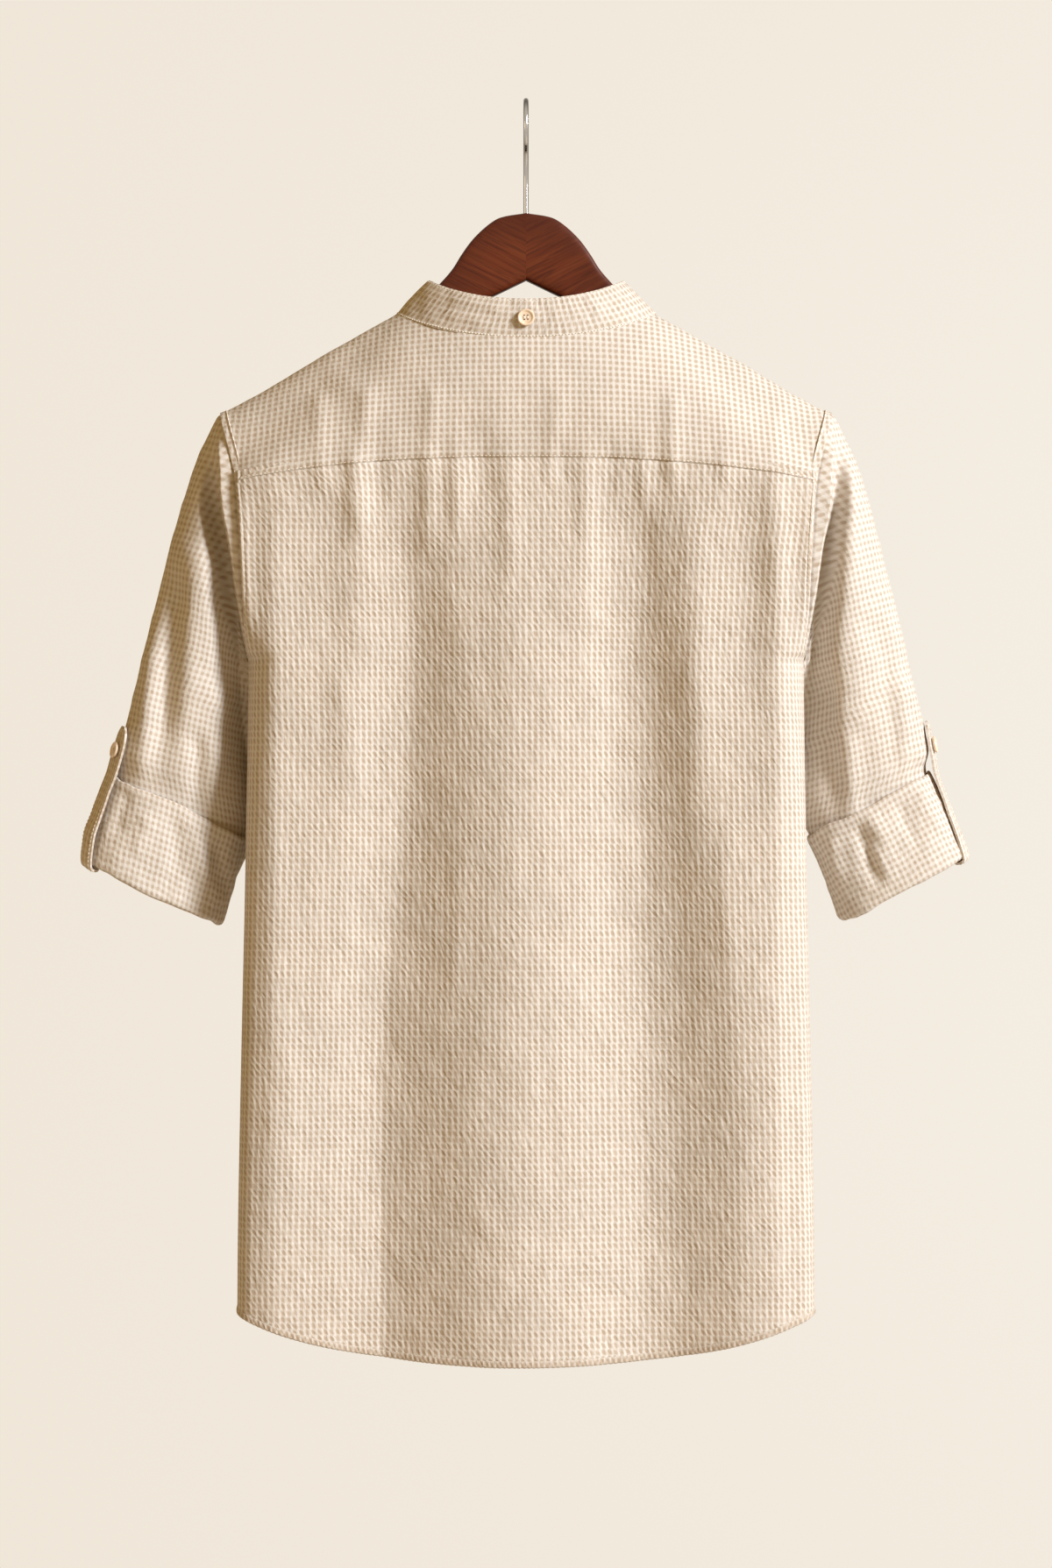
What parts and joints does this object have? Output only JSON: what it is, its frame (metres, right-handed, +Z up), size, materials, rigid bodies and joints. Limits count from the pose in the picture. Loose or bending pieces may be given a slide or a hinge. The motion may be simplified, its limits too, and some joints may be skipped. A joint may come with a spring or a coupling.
{
  "type": "band-collar popover shirt on a hanger",
  "caption": "Loose seersucker shirt with a band collar, back yoke, buttoned front placket, rolled sleeves with button tabs and a curved tail, held by a wooden hanger with a steel hook.",
  "frame": {"origin": "inside top of the hanger's hook, where a rail carries it", "axes": "+Z up, the shirt's front faces -Y and its back faces +Y, the wearer's left is +X"},
  "size_m": [0.6939, 0.1356, 0.9784],
  "materials": {
    "seersucker": "matt crinkled cotton in a small woven check of beige and cream",
    "button_resin": "satin cream resin",
    "hanger_wood": "varnished dark reddish wood",
    "hook_steel": "bright plated wire"
  },
  "bodies": {
    "root": {"back_panel": "seersucker", "yoke": "seersucker", "front_panel": "seersucker", "placket_over": "seersucker", "placket_under": "seersucker", "collar_band": "seersucker", "sleeve_left": "seersucker", "sleeve_right": "seersucker", "cuff_left": "seersucker", "cuff_right": "seersucker", "tab_left": "seersucker", "tab_right": "seersucker", "hem_back": "seersucker", "hem_front": "seersucker", "collar_back_button": "button_resin", "collar_front_button": "button_resin", "placket_button_1": "button_resin", "placket_button_2": "button_resin", "placket_button_3": "button_resin", "tab_button_left": "button_resin", "tab_button_right": "button_resin", "hanger_half_left": "hanger_wood", "hanger_half_right": "hanger_wood", "hook": "hook_steel"}
  },
  "joints": []
}
